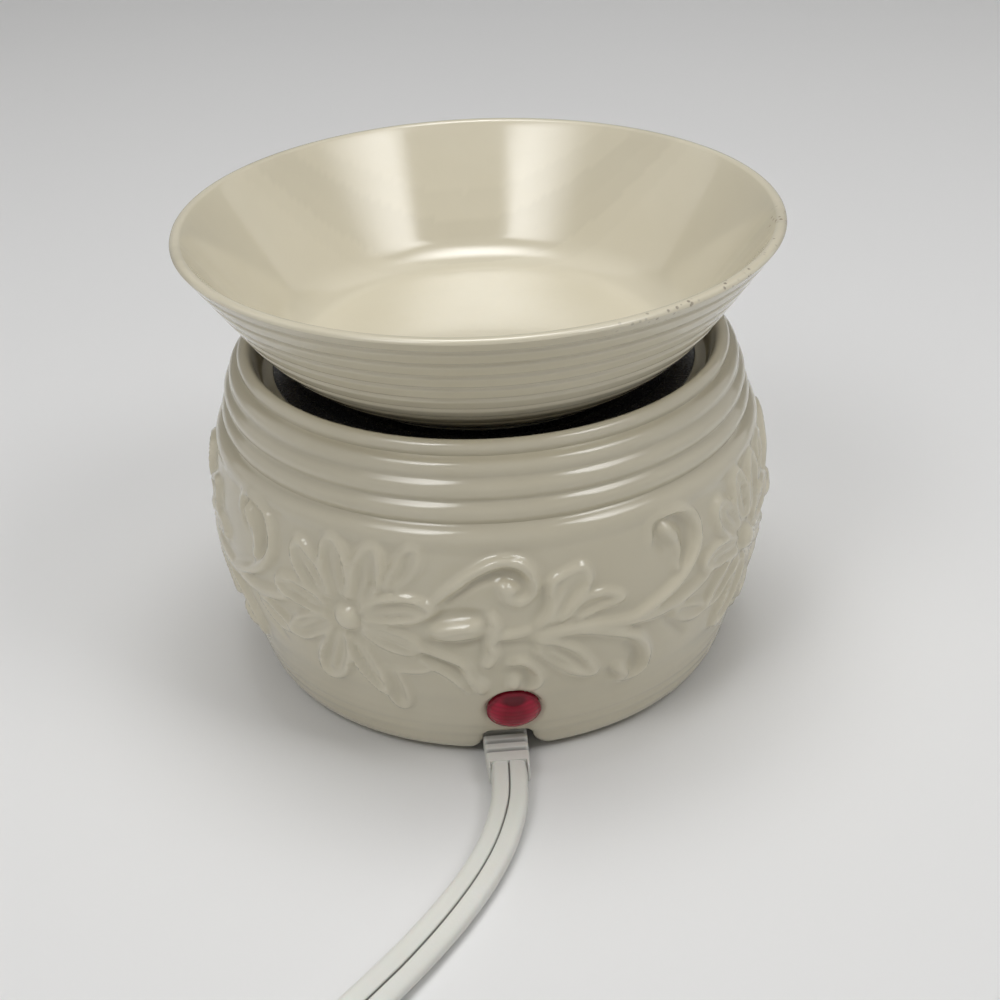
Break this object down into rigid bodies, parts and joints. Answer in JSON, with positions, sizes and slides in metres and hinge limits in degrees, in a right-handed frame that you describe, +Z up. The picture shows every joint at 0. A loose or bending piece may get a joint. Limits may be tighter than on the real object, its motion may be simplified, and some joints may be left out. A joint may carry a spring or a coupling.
{
  "type": "candle and wax warmer",
  "caption": "Electric candle and wax warmer: a ribbed ceramic bowl that lifts off a round embossed body with a hot plate, pilot light, flat cord, in-line switch and plug.",
  "frame": {"origin": "middle of the ceramic foot's footprint, on the surface that the rubber feet stand on", "axes": "+Z up along the body's axis; -Y towards the front, where the pilot light and the cord are"},
  "size_m": [0.1582, 0.3541, 0.1106],
  "materials": {
    "glazed_ceramic": "glossy ivory glaze",
    "black_enamel": "satin black non-stick enamel",
    "lens_red": "clear red jewel",
    "zinc_steel": "bright zinc plate",
    "heat_shield_aluminium": "mill finish",
    "mica": "satin sheet",
    "resistance_alloy": "drawn ribbon",
    "base_enamel": "satin paint",
    "foot_rubber": "moulded",
    "spring_steel": "blued",
    "lamp_glass": "clear",
    "lamp_nylon": "moulded",
    "tinned_metal": "tinned",
    "lead_sleeve": "braid-look sleeve",
    "core_insulation": "extruded",
    "cord_vinyl": "extruded, soft sheen",
    "tie_fabric": "woven hook tape",
    "plug_vinyl": "moulded",
    "plated_brass": "nickel wash",
    "switch_plastic": "moulded",
    "wheel_plastic": "moulded"
  },
  "bodies": {
    "base": {"base_plate": "base_enamel", "body_shell": "glazed_ceramic", "clamp_plate": "zinc_steel", "cord_coil": "cord_vinyl", "cord_cores": "core_insulation", "cord_link": "cord_vinyl", "cord_run": "cord_vinyl", "cord_tie": "tie_fabric", "fuse_clip": "spring_steel", "heat_shield": "heat_shield_aluminium", "heat_spreader": "heat_shield_aluminium", "heater_pan": "black_enamel", "indicator_lens": "lens_red", "lamp_holder": "lamp_nylon", "lamp_wires": "lead_sleeve", "lens_push_nut": "spring_steel", "live_lead": "lead_sleeve", "mica_former": "mica", "neon_lamp": "lamp_glass", "neutral_lead": "lead_sleeve", "plug_blades": "plated_brass", "plug_body": "plug_vinyl", "resistance_ribbon": "resistance_alloy", "rod_nuts": "zinc_steel", "rod_washers": "zinc_steel", "rubber_feet": "foot_rubber", "shield_spacer": "zinc_steel", "strain_relief": "cord_vinyl", "switch_bottom": "switch_plastic", "switch_contacts": "plated_brass", "switch_cores": "core_insulation", "switch_screw": "zinc_steel", "switch_top": "switch_plastic", "terminal_tabs": "resistance_alloy", "thermal_fuse": "tinned_metal", "tie_rod": "zinc_steel", "upper_mica_disc": "mica", "wire_crimps": "tinned_metal"},
    "bowl": {"melting_bowl": "glazed_ceramic"},
    "wheel": {"switch_wheel": "wheel_plastic"}
  },
  "joints": [
    {"name": "bowl_lift", "type": "slide", "parent": "base", "child": "bowl", "axis": [0, 0, 1], "range_m": [0, 0.05]},
    {"name": "switch_turn", "type": "hinge", "parent": "base", "child": "wheel", "pos_m": [-0.05597, -0.16717, 0.0086], "axis": [0, 0, 1], "continuous": true}
  ]
}
